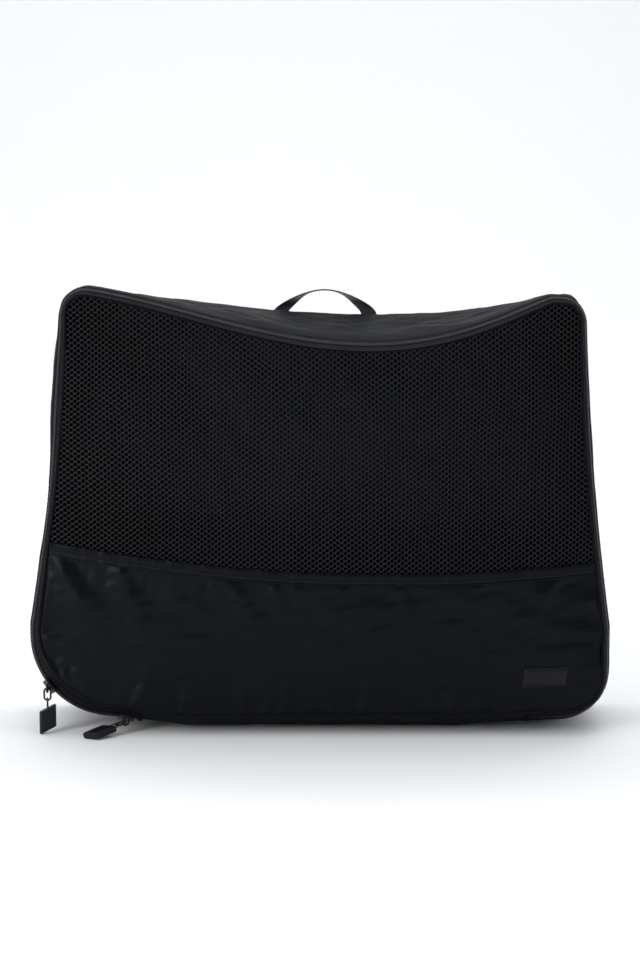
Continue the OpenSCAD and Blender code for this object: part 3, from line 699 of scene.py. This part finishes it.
def net():
    """Knitted threads round six-sided holes: each thread stands up along the line between two holes."""
    c = np.array([(STEP_X * i, NET_Z + STEP_Z * j) for j in range(NET_ROWS) for i in range(-NET_COLS, NET_COLS + 1)
                  if (i + j) % 2 == 0], float)
    c = c[inside(c, WINDOW) | (nearest(c, WINDOW)[1] < 1.0)]
    corner = (STEP_X ** 2 + STEP_Z ** 2) / (2 * STEP_X)
    short = corner - STEP_Z ** 2 / STEP_X
    hexagon = np.array([(corner, 0), (short, STEP_Z), (-short, STEP_Z), (-corner, 0), (-short, -STEP_Z),
                        (short, -STEP_Z)])
    outer = np.empty((12, 2))
    outer[::2] = hexagon
    outer[1::2] = (hexagon + np.roll(hexagon, -1, 0)) / 2
    a = np.radians([0, 36, 68, 90, 112, 144, 180, 216, 248, 270, 292, 324])
    round_hole = np.stack([1.52 * np.cos(a), 1.42 * np.sin(a)], -1)
    inner = 0.5 * round_hole + 0.5 * outer * OPEN
    n = len(c)
    flat = np.concatenate([np.repeat(c, 12, 0) + np.tile(ring, (n, 1)) for ring in (outer, inner)])
    knot = np.tile(np.arange(12) % 2 == 0, n)
    key = np.round(flat[:12 * n] * 50).astype(int)
    _, first, index = np.unique(key, axis=0, return_index=True, return_inverse=True)
    index = index.ravel()
    flat = np.concatenate([flat[:12 * n][first], flat[12 * n:]])
    knot = np.concatenate([knot[first], np.zeros(12 * n, bool)])
    crest = np.concatenate([np.ones(len(first), bool), np.zeros(12 * n, bool)])
    total = len(first)
    u, v = flat[:, 0], flat[:, 1]
    drift = [broad * noise(u, v, seed, 1 / 130.0, 2) + 0.10 * noise(u, v, seed + 1, 1 / 9.0, 2)
             for broad, seed in ((1.1, 81), (0.9, 83))]
    flat = flat + np.stack(drift, -1)
    out = ~inside(flat, WINDOW)
    flat[out] = nearest(flat[out], WINDOW)[0]
    x, z = flat[:, 0], flat[:, 1]
    sag = 1.6 * noise(x, z, 85, 1 / 170.0, 3)
    top = CASE_H - FRONT_DIP * bow(x) - 3.0
    middle = clamp((top - z) / 30.0) * clamp((z - hem_line(x)) / 25.0) * clamp((205 - np.abs(x)) / 25.0)
    tuck = 0.7 * np.exp(-np.clip(z - hem_line(x), 0, None) / 3.0)
    y = lid_y(x, z) + sag * middle + tuck - np.where(crest, 0.30, 0.0) - np.where(knot, 0.10, 0.0)
    j = np.arange(n)[:, None] * 12 + np.arange(12)[None, :]
    j2 = np.arange(n)[:, None] * 12 + (np.arange(12)[None, :] + 1) % 12
    quads = np.stack([index[j], index[j2], total + j2, total + j], -1).reshape(-1, 4)
    return make("lid_net", np.stack([x, y, z], -1) * MM, quads, NET, "lid", ("lid_mesh",))


lid_net = net()


# ---------------------------------------------------------------- the blank patch, with its raised frame
def on_patch(a, b):
    """The x and z of a place on the patch, a across and b up from its middle: it is sewn on a little askew."""
    return PATCH_X + a + 0.12 * b, PATCH_Z + b + 0.025 * a


def patch_plate():
    """The blank plate: rounded edges, a groove for the stitches and a raised frame inside it."""
    rows, cols, r = 81, 171, 1.6
    x, z = np.meshgrid(np.linspace(-1, 1, cols) * PATCH_L / 2, np.linspace(-1, 1, rows) * PATCH_H / 2)
    qx, qz = np.abs(x) - (PATCH_L / 2 - r), np.abs(z) - (PATCH_H / 2 - r)
    d = r - np.hypot(np.maximum(qx, 0), np.maximum(qz, 0)) - np.minimum(np.maximum(qx, qz), 0)
    d = np.maximum(d, 0)
    edge_round = 1.25 * (1 - (1 - clamp(d / 0.55)) ** 2)
    frame_ridge = 0.45 * clamp(1 - np.abs(d - 2.35) / 0.42) ** 0.6 - 0.22 * clamp((d - 2.7) / 0.3)
    stitch_groove = 0.30 * clamp(1 - np.abs(d - 1.15) / 0.35)
    h = edge_round + frame_ridge - stitch_groove
    far = np.hypot(qx, qz)
    corner = (qx > 0) & (qz > 0) & (far > r)
    pull = r / np.maximum(far, 1e-6)
    x = np.where(corner, np.sign(x) * (PATCH_L / 2 - r + qx * pull), x)
    z = np.where(corner, np.sign(z) * (PATCH_H / 2 - r + qz * pull), z)
    at_x, at_z = on_patch(x, z)
    y = lid_y(at_x, at_z) + 0.15 - h
    make("patch_plate", np.stack([at_x, y, at_z], -1) * MM, grid_faces(rows, cols), PATCH, "lid",
         ("patch",), np.stack([at_x, at_z], -1) * MM)


def patch_stitches():
    """A row of stitches along each edge: top, bottom, right and left."""
    pts, ways = [], []
    for sx, sz in ((0, 1), (0, -1), (1, 0), (-1, 0)):
        span = (PATCH_L if sz else PATCH_H) / 2 - 1.9
        for s in np.arange(-span, span + 0.01, 2 * span / round(2 * span / 2.1)):
            a = s if sz else sx * (PATCH_L / 2 - 1.15)
            b = sz * (PATCH_H / 2 - 1.15) if sz else s
            x, z = on_patch(a, b)
            pts.append((x, float(lid_y(x, z)) - 1.02, z))
            ways.append((1.0, 0.0, 0.0) if sz else (0.0, 0.0, 1.0))
    stitches("patch_stitches", np.array(pts) * MM, np.array(ways), np.tile([0.0, -1.0, 0.0], (len(pts), 1)), "lid",
             length=1.5, wide=0.30)


patch_plate()
patch_stitches()


# ---------------------------------------------------------------- sliders, rings, links and tabs
def from_cad(name, cad, material, body, bevel):
    """A CAD node's shape with its edges rounded over by bevel, in mm."""
    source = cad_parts[cad]
    mesh = source.data.copy()
    mesh.materials.clear()
    mesh.materials.append(material)
    obj = bpy.data.objects.new(name, mesh)
    bpy.context.scene.collection.objects.link(obj)
    obj.matrix_world = source.matrix_world.copy()
    weld = obj.modifiers.new("weld", "WELD")
    weld.merge_threshold = 0.00001
    if bevel:
        mod = obj.modifiers.new("edge", "BEVEL")
        mod.width, mod.segments, mod.limit_method, mod.angle_limit = bevel * MM, 3, "ANGLE", math.radians(28)
        mod.harden_normals = False
    bpy.context.view_layer.update()
    done = bpy.data.meshes.new_from_object(obj.evaluated_get(bpy.context.evaluated_depsgraph_get()))
    obj.modifiers.clear()
    obj.data = done
    done.polygons.foreach_set("use_smooth", [True] * len(done.polygons))
    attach(obj, body)
    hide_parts(cad)
    return obj


for s in "ab":
    from_cad(f"slider_{s}_shell", f"slider_{s}_body", METAL, f"slider_{s}", 0.35)
    from_cad(f"slider_{s}_puller", f"slider_{s}_ring", METAL, f"ring_{s}", 0)
    from_cad(f"slider_{s}_wire", f"slider_{s}_link", METAL, f"tab_{s}", 0)
    from_cad(f"slider_{s}_grip", f"slider_{s}_tab", RUBBER, f"tab_{s}", 0.45)
for s in ("left", "right"):
    from_cad(f"zip_end_{s}", f"zip_stop_{s}", TAPE, "case", 0.25)


# ---------------------------------------------------------------- the handle
HANDLE_X, HANDLE_Y, HANDLE_HALF, HANDLE_ARCH = 3.5, 55.4, 33.5, 15.0
SEAM_Z = BACK_H - BACK_DIP
HANDLE_Z = SEAM_Z + 3.5
WEB_HALF, WEB_RIB = 6.3, 1.6
STITCH_ROW = (-4.8, -2.4, 0.0, 2.4, 4.8)


def handle_line(u):
    """The webbing's middle at u, -1 to 1 from end to end, with the way across it and the way out of it."""
    turn = np.radians(90 + 90 * np.sign(u) * np.abs(u) ** 2.2)
    x, z = HANDLE_X + HANDLE_HALF * u, HANDLE_Z + HANDLE_ARCH * (1 - u * u)
    spine = np.stack([x, np.full_like(u, HANDLE_Y), z], -1)
    across = np.stack([np.cos(turn), np.sin(turn), 0 * turn], -1)
    return spine, across, np.stack([0 * turn, np.abs(np.cos(turn)), np.sin(turn)], -1)


def web_section(sides):
    """Flat webbing with rounded edges: across and out, each from -1 to 1."""
    a = np.linspace(0, 2 * np.pi, sides, endpoint=False)
    return (np.sign(np.cos(a)) * np.abs(np.cos(a)) ** 0.35, np.sign(np.sin(a)) * np.abs(np.sin(a)) ** 0.45)


def web_uv(cx, lengths):
    """Texture coordinates in metres: across the webbing and along it."""
    shape = (len(lengths), len(cx))
    return np.stack([np.broadcast_to(WEB_HALF * cx * MM, shape), np.broadcast_to(lengths[:, None] * MM, shape)], -1)


def web_rib(lengths):
    """The webbing's woven ribs, in mm, at these lengths along it."""
    return 0.07 * np.cos(2 * np.pi * lengths / WEB_RIB)


def handle_piece():
    """The free arch of webbing, turned over at each end where it folds down to the seam."""
    rings, sides = 160, 52
    spine, w, t = handle_line(np.linspace(-1, 1, rings))
    cx, cy = web_section(sides)
    d = lengths_along(spine)
    groove = 0.10 * (np.abs(np.abs(cx) - 0.78) < 0.06)[None, :]
    thick = 0.62 + web_rib(d)[:, None] - groove
    across = (WEB_HALF * cx)[None, :, None] * w[:, None]
    ring = spine[:, None] + across + (cy[None, :] * thick)[..., None] * t[:, None]
    make("handle_webbing", ring * MM, tube_faces(rings, sides), WEBBING, "handle", ("handle_strap",),
         web_uv(cx, d))


def handle_tail(name, side):
    """The end of the webbing below the handle's fold, sewn down to the back seam."""
    rings, sides = 34, 48
    z = np.linspace(SEAM_Z + 4.3, SEAM_Z - 11.0, rings)
    y = HANDLE_Y - 0.55 * np.sin(np.pi / 2 * clamp(np.linspace(0, 1, rings) * 1.6))
    cx, cy = web_section(sides)
    thick = 0.60 + web_rib(z - z[0])
    flare = side * (3.6 * (1 - np.exp(-(z[0] - 1.0 - z) / 3.4)))
    x = HANDLE_X + side * HANDLE_HALF + WEB_HALF * cx[None, :] + flare[:, None]
    ring = np.stack(np.broadcast_arrays(x, y[:, None] + thick[:, None] * cy[None, :], z[:, None]), -1)
    tail = make(name, ring * MM, tube_faces(rings, sides, flip=True), WEBBING, None, (), web_uv(cx, z))
    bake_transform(tail)


def handle_stitches():
    """Three rows of stitches at each end of the handle."""
    spots, ways, outs = [], [], []
    for side in (-1, 1):
        spine, w, t = handle_line(side * np.array([0.985, 0.93, 0.875]))
        for p, way, out in zip(spine, w, t):
            for across in STITCH_ROW:
                spots.append(p + across * way + 0.72 * out)
                ways.append(way)
                outs.append(out)
    stitches("stitch_handle", np.array(spots) * MM, np.array(ways), np.array(outs), "handle", length=1.9, wide=0.4)


def tail_stitches():
    """Two rows of stitches on each tail."""
    tack = np.array([(HANDLE_X + side * 36.6 + across, 55.62, SEAM_Z - low)
                     for side in (-1, 1) for low in (3.0, 8.5) for across in STITCH_ROW])
    stitches("stitch_handle_ends", tack * MM, np.tile([1.0, 0.0, 0.0], (len(tack), 1)),
             np.tile([0.0, 1.0, 0.0], (len(tack), 1)), "case", length=1.9, wide=0.4)


handle_piece()
handle_stitches()
handle_tail("handle_end_left", -1)
handle_tail("handle_end_right", 1)
tail_stitches()


# ---------------------------------------------------------------- the area of each cloth piece, and how large it was cut
def cloth_area(obj, layers):
    """The area of one layer of the cloth, in square metres."""
    mesh = obj.data
    areas = np.empty(len(mesh.polygons))
    mesh.polygons.foreach_get("area", areas)
    return float(areas.sum()) / layers


def declare(obj, flat, layers=1):
    """Works out one layer's area of a cloth piece whose mesh has so many layers, at most the size it was cut; the
    result is not kept.
    """
    round(min(cloth_area(obj, layers), flat[0] * flat[1]), 5)


declare(lid_net, (0.415, 0.230))
declare(panel, (0.450, 0.150))
declare(back, (0.452, 0.335))
declare(gusset, (1.230, 0.092), 2)
declare(base, (0.420, 0.092), 2)
declare(flap, (0.300, 0.020), 2)


# ---------------------------------------------------------------- floor, light and camera
def studio_white():
    """A white floor with a very slight unevenness."""
    m, nt, shader = new_material("studio_white")
    white = (0.86, 0.865, 0.875)
    tex = node(nt, "ShaderNodeTexCoord")
    grain = node(nt, "ShaderNodeTexNoise", Scale=4.0, Detail=4.0)
    nt.links.new(tex.outputs["Object"], grain.inputs["Vector"])
    tint(nt, shader, grain.outputs[0], [c * 0.985 for c in white], white)
    shader.inputs["Roughness"].default_value = 0.75
    shader.inputs["Specular IOR Level"].default_value = 0.2
    return m


def sweep_floor():
    """The floor, which curves up behind the case into a wall; it lies just under the ground to clear the case."""
    front, bend_y, bend_r, top, half_width, drop = -3.0, 0.9, 1.2, 5.0, 5.0, 0.0006
    turns = np.linspace(0.05, math.pi / 2, 24)
    line = np.array([(front, 0.0), (bend_y, 0.0)]
                    + [(bend_y + bend_r * math.sin(v), bend_r * (1 - math.cos(v))) for v in turns]
                    + [(bend_y + bend_r, top)])
    xs = np.array([-half_width, 0.0, half_width])
    grid = np.stack(np.broadcast_arrays(xs[None, :], line[:, :1], line[:, 1:] - drop), -1)
    make("floor_and_backdrop", grid, grid_faces(len(line), len(xs)), studio_white())


sweep_floor()


def area(name, place, aim, size, power, colour):
    """A rectangular lamp at place, turned to aim."""
    data = bpy.data.lights.new(name, "AREA")
    data.shape, data.size, data.size_y, data.energy, data.color = "RECTANGLE", size[0], size[1], power, colour
    obj = bpy.data.objects.new(name, data)
    bpy.context.scene.collection.objects.link(obj)
    obj.location = place
    obj.rotation_euler = (Vector(aim) - Vector(place)).to_track_quat("-Z", "Y").to_euler()


area("key_left", (-1.1, -1.55, 1.45), (0, 0, 0.12), (1.1, 1.1), 14, (1.0, 0.99, 0.98))
area("window_left", (-1.25, -1.35, 0.50), (0, 0, 0.1), (0.5, 0.8), 13, (0.93, 0.97, 1.0))
area("fill_right", (1.7, -1.2, 1.2), (0, 0, 0.15), (1.4, 1.4), 7, (0.95, 0.975, 1.0))
area("top", (0.0, 0.25, 2.0), (0, 0, 0.1), (2.2, 1.4), 17, (0.98, 0.99, 1.0))
area("backdrop", (0.0, 1.35, 2.7), (0, 2.15, 0.8), (4.5, 0.9), 35, (0.98, 0.99, 1.0))


def studio_world():
    """Even light all round, darker from the front so that the black cloth keeps its contrast."""
    world = bpy.data.worlds.new("studio")
    bpy.context.scene.world = world
    world.use_nodes = True
    nt = world.node_tree
    coords = node(nt, "ShaderNodeTexCoord")
    split = node(nt, "ShaderNodeSeparateXYZ")
    nt.links.new(coords.outputs["Generated"], split.inputs[0])
    fall = nt.nodes.new("ShaderNodeMapRange")
    fall.interpolation_type = "SMOOTHSTEP"
    for socket, value in (("From Min", -0.75), ("From Max", 0.35), ("To Min", 0.20), ("To Max", 1.0)):
        fall.inputs[socket].default_value = value
    nt.links.new(split.outputs["Y"], fall.inputs["Value"])
    glow = nt.nodes["Background"]
    glow.inputs[0].default_value = (0.97, 0.98, 1.0, 1)
    nt.links.new(fall.outputs[0], glow.inputs[1])


def front_camera():
    """A camera straight in front, a little above the case and tipped down."""
    data = bpy.data.cameras.new("camera")
    data.sensor_fit, data.sensor_height, data.lens = "VERTICAL", 36.0, 65.0
    cam = bpy.data.objects.new("camera", data)
    bpy.context.scene.collection.objects.link(cam)
    cam.location = (0.0, -1.355, 0.335)
    cam.rotation_euler = (math.radians(90 - 6.07), 0, 0)
    bpy.context.scene.camera = cam


studio_world()
front_camera()
bpy.context.scene.view_settings.view_transform = "Standard"
bpy.context.scene.view_settings.look = "None"

bpy.context.view_layer.update()
